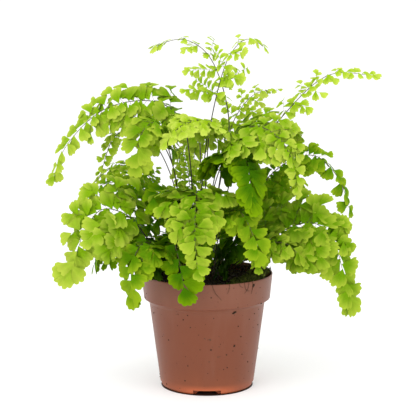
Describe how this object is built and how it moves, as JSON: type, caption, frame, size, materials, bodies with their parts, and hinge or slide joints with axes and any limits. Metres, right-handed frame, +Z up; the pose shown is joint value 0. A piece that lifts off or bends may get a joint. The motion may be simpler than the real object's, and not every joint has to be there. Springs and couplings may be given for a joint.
{
  "type": "potted maidenhair fern",
  "caption": "Maidenhair fern in a tapered plastic nursery pot: wiry stems fan out from the soil, arch over and hang with rows of small fan-shaped, lobed leaflets.",
  "frame": {"origin": "on the pot's axis in the plane that its foot stands on", "axes": "+Z up along the pot's axis, -Y towards the side that the picture shows, +X to the right in it"},
  "size_m": [0.2985, 0.2292, 0.3187],
  "materials": {
    "pot": "satin",
    "soil": "matte, crumbly",
    "leaf_fresh": "thin leaf, soft sheen",
    "leaf_green": "thin leaf, soft sheen",
    "leaf_deep": "thin leaf, soft sheen",
    "stem": "wiry, polished dark brown",
    "moss": "matte, tufted"
  },
  "bodies": {
    "root": {"pot": "pot", "soil": "soil", "frond_tall_left": "leaf_fresh", "frond_tall_right": "leaf_fresh", "frond_far_right": "leaf_fresh", "frond_tall_back": "leaf_fresh", "frond_left_high": "leaf_green", "frond_left_high_front": "leaf_green", "frond_left_high_back": "leaf_fresh", "frond_left_mid": "leaf_deep", "frond_left_mid_back": "leaf_fresh", "frond_left_low": "leaf_green", "frond_left_front_low": "leaf_deep", "frond_front_low": "leaf_deep", "frond_front_left_mid": "leaf_deep", "frond_front_centre": "leaf_fresh", "frond_top_front": "leaf_fresh", "frond_centre_right_high": "leaf_deep", "frond_centre_right_low": "leaf_green", "frond_right_high_front": "leaf_fresh", "frond_right_mid": "leaf_deep", "frond_right_back": "leaf_deep", "frond_right_low_inner": "leaf_deep", "frond_right_low": "leaf_green", "frond_inner_left": "leaf_deep", "frond_inner_right": "leaf_deep", "frond_back_centre": "leaf_fresh", "frond_back_right_high": "leaf_fresh", "frond_back_right_low": "leaf_green", "frond_back_high": "leaf_fresh", "frond_back_low": "leaf_green", "frond_back_left_high": "leaf_green", "frond_back_left_low": "leaf_deep", "frond_left_back_low": "leaf_deep"}
  },
  "joints": []
}
